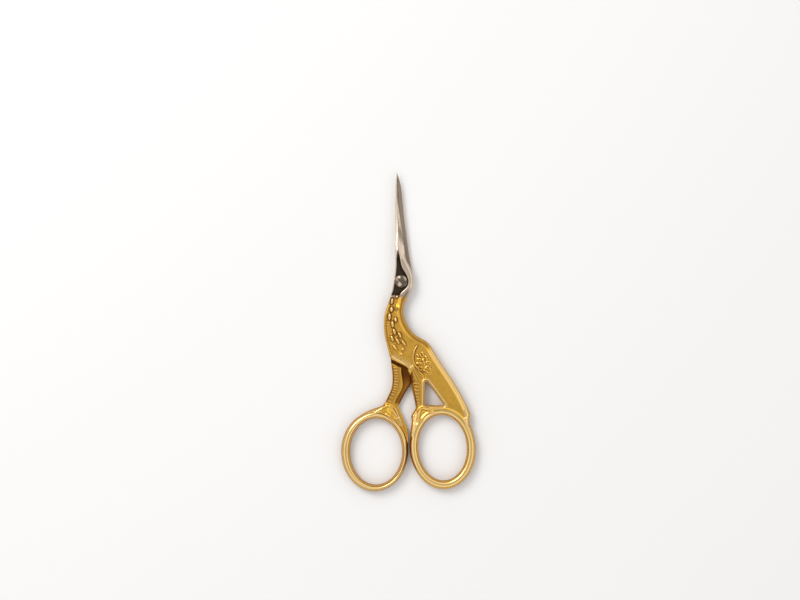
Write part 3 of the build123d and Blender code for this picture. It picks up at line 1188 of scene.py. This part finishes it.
    def carve(self, skin: Skin) -> None:
        """Rounds, chases, textures and stains the skin.

        Args:
            skin: The dense skin, changed in place.
        """
        still = smoothstep(self.blade_cut - skin.rows[:, 1], 0.0, self.settled_fade)
        skin.relax(self.settled_rounds, still)
        skin.relax(self.head_rounds, still * smoothstep(skin.rows[:, 1], *self.head))
        skin.write()
        margin = self.margin(skin)
        mark = self.soften(skin, margin)
        self.roll_edges(skin, margin)
        chasing = self.chase(skin, margin, mark)
        skin.relax(self.last_rounds, still * self.last_share)
        skin.write()
        self.stain(skin, margin, chasing)

    def stain(self, skin: Skin, margin: Margin, chasing: Chasing) -> None:
        """Stores where the finish is stained, where it is pale from wear and painted highlight, and where it
        is darkened as painted shade on steep walls and ground faces.

        Args:
            skin: The carved skin.
            margin: Its margin.
            chasing: How it was worked.
        """
        wear, distance, width = self.wear, margin.distance, margin.width
        # A rolled edge's rim is made pale by wear and painted highlight, and where its share is below nought,
        # dark with painted shade.
        rim = bell((distance - wear.rim_place_share * width) / (wear.rim_width_share * width + TINY))
        rim *= margin.worn
        clean = margin.worn * bell((distance - width) / (wear.clean_width_share * width + TINY))
        around = np.clip(wear.stain_gain * skin.blur(chasing.crowd, wear.stain_rounds), 0.0, 1.0)
        around *= (1 - chasing.mark) * chasing.face * chasing.carved
        around *= 1 - np.clip(wear.clean_share * clean, 0.0, 1.0)
        around *= 1 - wear.pale_stain_share * smoothstep(margin.down / BODY_REACH, *wear.pale_stain_shares)
        grooves = np.clip(-chasing.relief / self.moat_depth, 0.0, 1.0)
        # Besides the stain around marks, in pits and in grooves, the dark rims below nought are painted
        # shade.
        stained = around + wear.pit_share * chasing.pits + np.maximum(-rim, 0.0) + wear.groove_share * grooves
        heights = skin.rows[:, 2]
        close = skin.blur(heights.copy(), wear.close_rounds) - heights
        wide = skin.level(chasing.face, wear.wide_rounds) - heights
        # Raised points are made pale, partly as wear and partly as painted highlight.
        worn = wear.close_share * smoothstep(-close, *wear.close)
        worn += wear.wide_share * smoothstep(-wide, *wear.wide)
        worn *= 1 - wear.spared_share * smoothstep(-skin.rows[:, 1] / BODY_REACH, *wear.spared_shares)
        hollow = chasing.face * smoothstep(close, *wear.hollow)
        # The stored stain also carries painted shade: dark rims, the recess and the step.
        skin.give("hollow", hollow + np.clip(stained, 0.0, 1.0) + self.shade_and_grime(skin))
        skin.give("wear_and_highlight", chasing.face * (worn + np.maximum(rim, 0.0)))
        # Steep walls get painted shade.
        skin.give("wall_shade", 1 - smoothstep(np.abs(skin.normals[:, 2]), *wear.wall_shade_tilts))
        skin.give("dull_and_shade", self.dullness_and_shade(skin))

    def shade_and_grime(self, skin: Skin) -> np.ndarray:
        """Where shade is painted on the forging."""
        return np.zeros(skin.count)

    def dullness_and_shade(self, skin: Skin) -> np.ndarray:
        """Where the forging is left as it was ground, and darkened as painted shade."""
        return np.zeros(skin.count)

    def blade_dullness_and_shade(self, skin: Skin) -> np.ndarray:
        """Where the blade is only ground, not polished, and darkened as painted shade."""
        return np.zeros(skin.count)

    def finish_blade(self, blade: bpy.types.Object) -> None:
        """Breaks the crisp blade's edges and cuts it off at the head.

        Args:
            blade: The blade, changed in place.
        """
        bevel = blade.modifiers.new("edge_break", "BEVEL")
        bevel.width = self.edge_break
        bevel.segments = self.edge_segments
        bevel.limit_method = "ANGLE"
        bevel.angle_limit = self.edge_angle
        apply_modifiers(blade)
        cut(blade, self.blade_cut, Keep.ABOVE)
        skin = Skin(blade)
        # The ground inner face is darkened as painted shade.
        dull_and_shade = self.blade_dullness_and_shade(skin)
        for name, share in (("hollow", self.inner_shade_share), ("wear_and_highlight", 0.0), ("wall_shade", 0.0), ("dull_and_shade", 1.0)):
            skin.give(name, share * dull_and_shade)
        activate(blade)
        bpy.ops.object.shade_smooth_by_angle(angle=self.smooth_angle)
        flats = blade.modifiers.new("flats", "WEIGHTED_NORMAL")
        flats.weight = self.flat_weight
        flats.keep_sharp = True
        apply_modifiers(blade)

    def dress(self, finish: bpy.types.Material) -> None:
        """Builds the pieces and puts them in the node's place.

        Args:
            finish: The material of them all.
        """
        blade = self.form.build(f"{self.body.value}_blade")
        blank = self.blank(blade)
        skin = self.skin_of(blank)
        bpy.data.objects.remove(blank)
        self.carve(skin)
        skin.keep_normals()
        handle = skin.piece
        head = copy_of(handle, f"{self.body.value}_head")
        bow = copy_of(handle, f"{self.body.value}_bow")
        cut(head, self.blade_cut, Keep.BELOW)
        cut(head, self.plate_cut, Keep.ABOVE)
        cut(handle, self.plate_cut, Keep.BELOW)
        cut(handle, self.bow_cut, Keep.ABOVE)
        cut(bow, self.bow_cut, Keep.BELOW)
        for piece in (head, handle, bow):
            restore_normals(piece)
        self.finish_blade(blade)
        for piece, slot in ((head, Slot.STEEL), (blade, Slot.STEEL), (handle, Slot.GOLD), (bow, Slot.GOLD)):
            hand_over(piece, finish, self.body, self.node)


WING_STROKE_SHARES = (
    ((0.217, 0.619), (0.262, 0.612), (0.306, 0.617)),
    ((0.230, 0.644), (0.270, 0.642), (0.310, 0.649)),
    ((0.312, 0.583), (0.330, 0.606), (0.344, 0.633)),
    ((0.352, 0.610), (0.391, 0.602), (0.431, 0.606)),
    ((0.344, 0.655), (0.380, 0.636), (0.405, 0.642), (0.430, 0.669)),
    ((0.235, 0.585), (0.262, 0.578), (0.290, 0.585)),
    ((0.330, 0.668), (0.365, 0.678), (0.400, 0.690)),
    ((0.270, 0.548), (0.285, 0.560), (0.296, 0.574)),
    ((0.232, 0.548), (0.245, 0.556), (0.258, 0.566)),
    ((0.300, 0.530), (0.318, 0.545), (0.330, 0.562)),
    ((0.352, 0.560), (0.368, 0.575), (0.378, 0.590)),
)
WING_EDGE_SHARES = (
    (0.262, 0.470), (0.208, 0.515), (0.182, 0.562), (0.190, 0.612), (0.238, 0.652), (0.330, 0.694),
)
THIGH_SHARES = (
    ((0.250, 0.672), (0.310, 0.705), (0.330, 0.735)),
    ((0.125, 0.700), (0.165, 0.745), (0.185, 0.790)),
)
HATCH_COUNT = 11
HATCH_START_SHARES = ((-0.232, 0.29), (-0.185, 0.305))     # of the uppermost line
HATCH_BEND_SHARES = (0.0004, 0.0008)                       # across, by the square of a line's number
HATCH_STEP_SHARE = 0.021                                   # down
FRONT_TOE_SHARES = (
    ((0.285, 0.957), (0.268, 0.985), (0.240, 1.045)),
    ((0.300, 0.958), (0.370, 0.962), (0.445, 0.970)),
)
FRONT_SOLE_SHARES = ((0.470, 0.992), (0.410, 0.996), (0.350, 1.018), (0.290, 1.062))
REAR_TOE_SHARES = (
    ((-0.195, 0.937), (-0.270, 0.955), (-0.355, 0.974)),
    ((-0.162, 0.942), (-0.112, 0.978), (-0.064, 1.016)),
)
REAR_WEB_SHARES = ((-0.175, 0.945), (-0.178, 0.975), (-0.182, 1.000))
REAR_SOLE_SHARES = ((-0.385, 0.990), (-0.280, 0.996), (-0.190, 1.018), (-0.100, 1.066))
RECESS_TIP_SHARES = ((-0.072, -0.150), (-0.064, -0.205), (-0.052, -0.252))
HEAD_LINE_SHARES = (
    (-0.004, -0.170), (0.045, -0.135), (0.088, -0.080), (0.125, -0.030),
    (0.136, 0.010), (0.095, 0.045), (0.040, 0.080),
)
BOW_SHARES = (0.96, 1.7)
LEG_SHARES = (0.55, 0.94)
WINDOW_SHARES = (0.74, 0.96)
WINDOW_ACROSS_SHARES = (0.3, 0.69)
TAIL_ACROSS_SHARES = (0.69, 2.0)
FRONT_LEG_ACROSS_SHARES = (-2.0, 0.3)
FRONT_BLADE_SHARES = (
    (0.0, 0.0, 0.0, 1.0),
    (0.10, 0.04, 0.14, 0.62),
    (0.28, 0.08, 0.39, 0.22),
    (0.47, 0.14, 0.64, 0.0),
    (0.68, 0.25, 0.88, 0.0),
    (0.84, 0.45, 0.95, 0.0),
    (1.0, 1.0, 1.0, 0.0),
)
REAR_BLADE_SHARES = (
    (0.0, 0.0, 0.0, 1.0),
    (0.10, 0.12, 0.02, 0.62),
    (0.28, 0.28, 0.05, 0.22),
    (0.47, 0.45, 0.10, 0.0),
    (0.68, 0.58, 0.20, 0.0),
    (0.83, 0.68, 0.40, 0.0),
    (0.92, 0.82, 0.70, 0.0),
    (1.0, 1.0, 1.0, 0.0),
)
RIGHT, LEFT, UP, DOWN = ((1.0, 0.0), (-1.0, 0.0), (0.0, 1.0), (0.0, -1.0))
SPINE_WAY = (1.0, 0.2)
TAIL_WAY = (0.9, 0.5)
CHEST_WAY = (-0.4, -1.0)
FRONT_LEG_WAY = (-1.0, -0.2)


def all_round(ways: tuple[Row, ...], span_shares: Row, **sizes: object) -> tuple[Edge, ...]:
    """Edges that are alike but for the ways that they face.

    Args:
        ways: The ways.
        span_shares: Where the edges start and end.
        sizes: Their other sizes, by name.

    Returns:
        The edges.
    """
    return tuple(Edge(way, span_shares, **sizes) for way in ways)


# An edge's pale rim is partly wear and partly painted highlight; a rim given below nought is painted shade
# along the edge.
FRONT_EDGES = (
    *all_round((RIGHT, LEFT, UP, DOWN), BOW_SHARES, width=1.3 * MM, drop=1.0 * MM, worn=0.7),
    *all_round(
        (RIGHT, LEFT, UP, DOWN),
        WINDOW_SHARES,
        width=0.75 * MM,
        drop=0.4 * MM,
        worn=0.5,
        across_shares=WINDOW_ACROSS_SHARES,
    ),
    Edge(SPINE_WAY, (-0.18, 0.07), width=1.0 * MM, drop=0.7 * MM),
    Edge(SPINE_WAY, (0.07, 0.50), width=1.0 * MM, drop=0.75 * MM, blend=2.3 * MM, worn=-0.75),
    Edge(TAIL_WAY, (0.50, 0.74), width=0.9 * MM, drop=0.6 * MM, blend=2.1 * MM, worn=0.75),
    Edge(
        TAIL_WAY,
        WINDOW_SHARES,
        width=0.9 * MM,
        drop=0.6 * MM,
        blend=2.1 * MM,
        worn=0.75,
        across_shares=TAIL_ACROSS_SHARES,
    ),
    Edge(LEFT, (-0.21, 0.09), width=0.15 * MM, drop=0.1 * MM, lip=0.34 * MM),
    Edge(LEFT, (0.09, 0.54), width=0.6 * MM, drop=0.5 * MM, worn=-0.55),
    Edge(CHEST_WAY, (0.53, 0.69), width=1.3 * MM, drop=0.85 * MM, worn=0.6),
    Edge(
        FRONT_LEG_WAY,
        (0.69, 0.96),
        width=0.4 * MM,
        drop=0.35 * MM,
        worn=-0.85,
        across_shares=FRONT_LEG_ACROSS_SHARES,
    ),
)
# Likewise here: pale rims are wear and painted highlight, rims below nought are painted shade.
REAR_EDGES = (
    *all_round((RIGHT, LEFT), LEG_SHARES, width=0.35 * MM, drop=0.3 * MM, worn=-0.7),
    *all_round((RIGHT, LEFT, UP, DOWN), BOW_SHARES, width=1.15 * MM, drop=1.0 * MM, worn=0.7),
)


def foot(toes: tuple[tuple[Row, ...], ...], sole: tuple[Row, ...]) -> tuple[Stroke, ...]:
    """A foot's broad toes, and the groove between them and the bow.

    Args:
        toes: Each toe's plan points.
        sole: The groove's plan points.

    Returns:
        The strokes.
    """
    broad = tuple(Stroke(shares, width=0.48 * MM, rise=0.26 * MM, broad=True) for shares in toes)
    return broad + (Stroke(sole, width=0.17 * MM, rise=-0.16 * MM),)


def hatch_shares(number: int) -> tuple[Row, ...]:
    """One line of the hatching along the breast.

    Args:
        number: Its number from the top.

    Returns:
        Its two plan points.
    """
    return tuple(
        (across + bend * number * number, down + HATCH_STEP_SHARE * number)
        for (across, down), bend in zip(HATCH_START_SHARES, HATCH_BEND_SHARES)
    )


FRONT_STROKES = (
    *(Stroke(shares, width=0.2 * MM, rise=0.16 * MM, moat=0.08 * MM) for shares in WING_STROKE_SHARES),
    *(Stroke(shares, width=0.18 * MM, rise=0.13 * MM, moat=0.08 * MM) for shares in THIGH_SHARES),
    *(Stroke(hatch_shares(number), width=0.13 * MM, rise=-0.08 * MM) for number in range(HATCH_COUNT)),
    Stroke(WING_EDGE_SHARES, width=0.16 * MM, rise=-0.06 * MM),
    Stroke(HEAD_LINE_SHARES, width=0.12 * MM, rise=-0.07 * MM),
    Stroke(RECESS_TIP_SHARES, width=0.2 * MM, rise=0.2 * MM),
    *foot(FRONT_TOE_SHARES, FRONT_SOLE_SHARES),
)
REAR_STROKES = (
    Stroke(REAR_WEB_SHARES, width=0.5 * MM, rise=0.0, broad=True),
    *foot(REAR_TOE_SHARES, REAR_SOLE_SHARES),
)
FRONT_BLADE = BladeForm(
    FRONT_BLADE_SHARES,
    heels=(-1.612 * MM, 1.433 * MM),
    points=(-1.28 * MM, -1.12 * MM),
    floor=1.67 * MM,
    rise=1,
    thickness=1.75 * MM,
    reach=31.5 * MM,
)
REAR_BLADE = BladeForm(
    REAR_BLADE_SHARES,
    heels=(2.507 * MM, -1.353 * MM),
    points=(-1.12 * MM, -1.28 * MM),
    floor=1.63 * MM,
    rise=-1,
    thickness=1.63 * MM,
    reach=31.15 * MM,
)


@dataclass
class FrontHalf(ForgedHalf):
    """The upper half, with the bird's body, its front leg and the tail."""

    body: Body = Body.FRONT
    form: BladeForm = FRONT_BLADE
    edges: tuple[Edge, ...] = FRONT_EDGES
    strokes: tuple[Stroke, ...] = FRONT_STROKES
    wall_band: Row = (1.8 * MM, 2.3 * MM)
    face_floor: float = 2.3 * MM
    roll_base: float = 2.1 * MM
    roll_ceiling: float = 3.42 * MM
    recess_height: float = 2.92 * MM
    recess_depth: float = 0.06 * MM            # by which its floor is known
    recess_end: float = 4.6 * MM
    recess_fade: float = 1 * MM
    recess_tilts: Row = (0.93, 0.98)
    recess_top: Row = (3.05 * MM, 3.3 * MM)    # where the painted shade ends on its walls
    recess_gain: float = 3.0
    recess_rounds: int = 15
    band: Row = (3.15 * MM, 3.3 * MM)          # of heights where the rim beside it starts
    band_rounds: int = 60
    # How dark the painted shade is on the recess floor, and how much darker beside the band
    band_shade_share: float = 0.5
    shade_and_grime_share: float = 0.97

    def shade_and_grime(self, skin: Skin) -> np.ndarray:
        """Paints shade into the screw's recess and onto its walls beside the band.

        Args:
            skin: The carved skin.

        Returns:
            How dark the painted shade is at each point.
        """
        down, heights = -skin.rows[:, 1], skin.rows[:, 2]
        # Painted shade on the recess floor, spread up its walls.
        flat = smoothstep(skin.normals[:, 2], *self.recess_tilts) * (down < self.recess_end)
        floor = flat * bell((heights - self.recess_height) / self.recess_depth)
        spread = np.clip(self.recess_gain * skin.blur(floor, self.recess_rounds), 0.0, 1.0)
        spread *= 1 - smoothstep(heights, *self.recess_top)
        spread *= 1 - smoothstep(down, self.recess_end - self.recess_fade, self.recess_end)
        wall = skin.blur(smoothstep(heights, *self.band), self.band_rounds)
        return spread * (self.shade_and_grime_share + self.band_shade_share * wall)


@dataclass
class RearHalf(ForgedHalf):
    """The lower half, with the rear leg beside the ground joint face."""

    body: Body = Body.REAR
    form: BladeForm = REAR_BLADE
    edges: tuple[Edge, ...] = REAR_EDGES
    strokes: tuple[Stroke, ...] = REAR_STROKES
    wall_band: Row = (0.6 * MM, 1.2 * MM)
    face_floor: float = 2.2 * MM
    roll_base: float = 1.75 * MM
    roll_ceiling: float = 2.75 * MM
    joint_floor: float = 0.5 * MM
    joint_top: Row = (1.7 * MM, 1.9 * MM)
    joint_fade: float = 1 * MM                 # before the bow
    bare_shares: Row = (0.1, 0.2)              # of the body's reach, where the bare steel ends
    step_shade_shares: Row = (0.3, 0.4)             # where painted shade starts on the step
    shadow_start_shares: Row = (0.52, 0.62)    # where it is blackest
    shadow_end_shares: Row = (0.70, 0.82)
    step_shade_share: float = 0.2
    shadow_share: float = 0.65
    inner_tilts: Row = (0.5, 0.9)

    def shade_and_grime(self, skin: Skin) -> np.ndarray:
        """Paints shade on the step beside the leg, darkest as a shadow under the bird's chest, and on the
        bare joint face near the pivot.

        Args:
            skin: The carved skin.

        Returns:
            How dark the painted shade is at each point.
        """
        down = -skin.rows[:, 1] / BODY_REACH
        # A painted shadow under the chest, lighter painted shade further down the step, and painted shade on
        # the bare joint face.
        shadow = smoothstep(down, *self.shadow_start_shares) * (1 - smoothstep(down, *self.shadow_end_shares))
        bare = self.inner_shade_share * (1 - smoothstep(down, *self.bare_shares))
        step_shade = self.step_shade_share * smoothstep(down, *self.step_shade_shares)
        return self.dullness_and_shade(skin) * (step_shade + self.shadow_share * shadow + bare)

    def dullness_and_shade(self, skin: Skin) -> np.ndarray:
        """The joint face and the step below the leg are only ground, and darkened as painted shade."""
        step = skin.top(self.joint_floor) * (1 - smoothstep(skin.rows[:, 2], *self.joint_top))
        return step * (1 - smoothstep(-skin.rows[:, 1], self.bow_reach - self.joint_fade, self.bow_reach))

    def blade_dullness_and_shade(self, skin: Skin) -> np.ndarray:
        """The flat inner face is only ground, and darkened as painted shade."""
        return smoothstep(skin.normals[:, 2], *self.inner_tilts)


@dataclass
class PivotScrew:
    """The slotted, dome-headed pivot screw, whose shank ends flush with the back."""

    node: bpy.types.Object
    body: Body = Body.REAR
    head_height: float = 0.95 * MM
    head_segments: int = 96
    head_rings: int = 49
    dome_rise: float = 0.68 * MM
    base_tilt: float = -0.99                   # below which a polygon is the dome's flat base
    slot_width: float = 0.6 * MM
    slot_depth: float = 0.52 * MM
    slot_turn: float = math.radians(-45)
    slot_reach_share: float = 4.0              # of the head's radius
    shank_radius: float = 1.1 * MM
    shank_lap: float = 0.2 * MM                # that the shank runs into the head
    voxel: float = 0.045 * MM
    settled_rounds: int = 4
    top_floor: float = 2.2 * MM                # below every upper face
    cavity: Row = (0.03 * MM, 0.1 * MM)
    cavity_rounds: int = 16
    patch_size: float = 1.3 * MM
    patch_levels: Row = (-0.28, 0.12)
    patch_share: float = 0.78
    wall_shade_tilts: Row = (0.3, 0.8)
    dull_share: float = 0.5

    def dome(self, radius: float, seat: float, top: float) -> bpy.types.Object:
        """The domed head on its short upright rim.

        Args:
            radius: The head's radius.
            seat: The height of its flat underside.
            top: The height of the dome's middle.

        Returns:
            The closed head.
        """
        shoulder = top - self.dome_rise
        bpy.ops.object.select_all(action="DESELECT")
        bpy.ops.mesh.primitive_uv_sphere_add(
            segments=self.head_segments,
            ring_count=self.head_rings,
            radius=radius,
            location=(0.0, 0.0, shoulder),
            scale=(1.0, 1.0, self.dome_rise / radius),
        )
        head = bpy.context.object
        bpy.ops.object.transform_apply(location=True, rotation=True, scale=True)
        with edit_mode(head):
            bpy.ops.mesh.bisect(
                plane_co=(0.0, 0.0, shoulder),
                plane_no=(0.0, 0.0, 1.0),
                use_fill=True,
                threshold=TINY,
                clear_inner=True,
            )
            bpy.ops.mesh.select_all(action="DESELECT")
        for polygon in head.data.polygons:
            polygon.select = polygon.normal.z < self.base_tilt
        bpy.context.tool_settings.mesh_select_mode = (False, False, True)
        bpy.ops.object.mode_set(mode="EDIT")
        bpy.ops.mesh.extrude_region_move(TRANSFORM_OT_translate={"value": (0.0, 0.0, seat - shoulder)})
        bpy.ops.object.mode_set(mode="OBJECT")
        bpy.context.tool_settings.mesh_select_mode = (True, False, False)
        return head

    def saw_slot(self, head: bpy.types.Object, radius: float, top: float) -> None:
        """Saws the slot across the head.

        Args:
            head: The head, changed in place.
            radius: Its radius.
            top: The height of its middle.
        """
        bpy.ops.object.select_all(action="DESELECT")
        turn = (0.0, 0.0, self.slot_turn)
        bpy.ops.mesh.primitive_cube_add(size=1.0, location=(0.0, 0.0, top), rotation=turn)
        saw = bpy.context.object
        saw.scale = (self.slot_reach_share * radius, self.slot_width, 2 * self.slot_depth)
        bpy.context.view_layer.update()
        sawing = head.modifiers.new("slot", "BOOLEAN")
        sawing.object = saw
        apply_modifiers(head)
        bpy.data.objects.remove(saw)

    def shank(self, low: float, high: float) -> bpy.types.Object:
        """The plain shank.

        Args:
            low: The height of its lower end.
            high: The height of its upper end.

        Returns:
            The closed shank.
        """
        bpy.ops.object.select_all(action="DESELECT")
        bpy.ops.mesh.primitive_cylinder_add(
            vertices=self.head_segments,
            radius=self.shank_radius,
            depth=high - low,
            location=(0.0, 0.0, (low + high) / 2),
        )
        bpy.ops.object.transform_apply(location=True, rotation=True, scale=True)
        return bpy.context.object

    def skin(self) -> Skin:
        """Builds the head and shank and covers them with one worn skin.

        Returns:
            The skin.
        """
        low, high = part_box(self.node.name)
        radius = (high.x - low.x) / 2
        seat = high.z - self.head_height
        head = self.dome(radius, seat, high.z)
        self.saw_slot(head, radius, high.z)
        shank = self.shank(low.z, seat + self.shank_lap)
        activate(head, shank)
        bpy.ops.object.join()
        head.name = "pivot_screw_skin"
        voxel_remesh(head, self.voxel)
        apply_modifiers(head)
        skin = Skin(head)
        skin.relax(self.settled_rounds, np.ones(skin.count))
        skin.write()
        return skin

    def dress(self, finish: bpy.types.Material) -> None:
        """Puts the screw in the node's place.

        Args:
            finish: Its material.
        """
        skin = self.skin()
        heights = skin.rows[:, 2]
        cavity = skin.blur(heights.copy(), self.cavity_rounds) - heights
        top = skin.top(self.top_floor)
        patches = np.array([noise.noise(Vector(row) / self.patch_size) for row in skin.rows])
        stained = smoothstep(cavity, *self.cavity)
        stained += self.patch_share * smoothstep(patches, *self.patch_levels)
        skin.give("hollow", top * stained)
        skin.give("wear_and_highlight", np.zeros(skin.count))
        # The screw's steep sides get painted shade.
        skin.give("wall_shade", 1 - smoothstep(skin.normals[:, 2], *self.wall_shade_tilts))
        skin.give("dull_and_shade", self.dull_share * top)
        activate(skin.piece)
        bpy.ops.object.shade_smooth()
        hand_over(skin.piece, finish, self.body, self.node)


@dataclass
class Studio:
    """A pale floor, soft light from the upper left, and a camera straight above."""

    frame_width: float = 230.4 * MM
    centre: Row = (-0.3 * MM, -5.3 * MM)
    lens: float = 100.0
    sensor: float = 36.0
    floor_size: float = 2.0
    floor_height: float = -0.02 * MM
    floor_colour: Row = (0.88, 0.87, 0.86, 1.0)
    floor_roughness: float = 0.8
    key_place: Row = (-0.35, 0.35, 0.55)
    key_aim: Row = (0.0, -0.01, 0.0)
    key_energy: float = 2.2
    key_size: float = 0.35
    sky_stops: tuple[Row, ...] = ((0.0, 0.12), (0.3, 0.45), (0.6, 1.0), (0.9, 1.0), (0.985, 0.45))

    def floor(self) -> None:
        """Lays the floor just under the object."""
        bpy.ops.object.select_all(action="DESELECT")
        bpy.ops.mesh.primitive_plane_add(size=self.floor_size, location=(0.0, 0.0, self.floor_height))
        floor = bpy.context.object
        floor.name = "floor"
        bench = NodeBench(bpy.data.materials.new("pale_floor"))
        floor.data.materials.append(bench.close(Base_Color=self.floor_colour, Roughness=self.floor_roughness))

    def sky(self) -> None:
        """Lights the scene evenly, darker at the horizon and straight above."""
        world = bpy.data.worlds.new("studio")
        bpy.context.scene.world = world
        bench = NodeBench(world)
        where = bench.add("TexCoord").outputs["Generated"]
        height = bench.add("SeparateXYZ", Vector=where).outputs["Z"]
        ramp = bench.add("ValToRGB", Fac=height)
        elements = ramp.color_ramp.elements
        while len(elements) < len(self.sky_stops):
            elements.new(0.5)
        for element, (position, level) in zip(elements, self.sky_stops):
            element.position = position
            element.color = (level, level, level, 1.0)
        light = bench.add("Background", Color=ramp.outputs[0])
        bench.add("OutputWorld", Surface=light.outputs[0])

    def key(self) -> None:
        """Hangs the soft key light at the upper left."""
        bpy.ops.object.light_add(type="AREA", location=self.key_place)
        lamp = bpy.context.object
        lamp.data.energy = self.key_energy
        lamp.data.size = self.key_size
        aim = Vector(self.key_aim) - lamp.location
        lamp.rotation_euler = aim.to_track_quat("-Z", "Y").to_euler()

    def camera(self) -> None:
        """Puts the camera straight above the object, in the photograph's frame."""
        lens = bpy.data.cameras.new("camera")
        lens.lens = self.lens
        lens.sensor_width = self.sensor
        eye = bpy.data.objects.new("camera", lens)
        bpy.context.scene.collection.objects.link(eye)
        distance = self.frame_width * self.lens / self.sensor
        eye.location = (*self.centre, distance)
        bpy.context.scene.camera = eye

    def build(self) -> None:
        """Sets the stage."""
        self.floor()
        self.sky()
        self.key()
        self.camera()
        bpy.context.scene.view_settings.view_transform = "Standard"


def main() -> None:
    """Loads the frame, dresses every piece and sets the stage."""
    logging.basicConfig(level=logging.INFO, format="%(name)s: %(message)s")
    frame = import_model()
    nodes = frame["nodes"]
    finish = Finish().material()
    RearHalf(nodes["rear_half"]).dress(finish)
    FrontHalf(nodes["front_half"]).dress(finish)
    PivotScrew(nodes["pivot_screw"]).dress(finish)
    Studio().build()


if __name__ == "__main__":
    main()
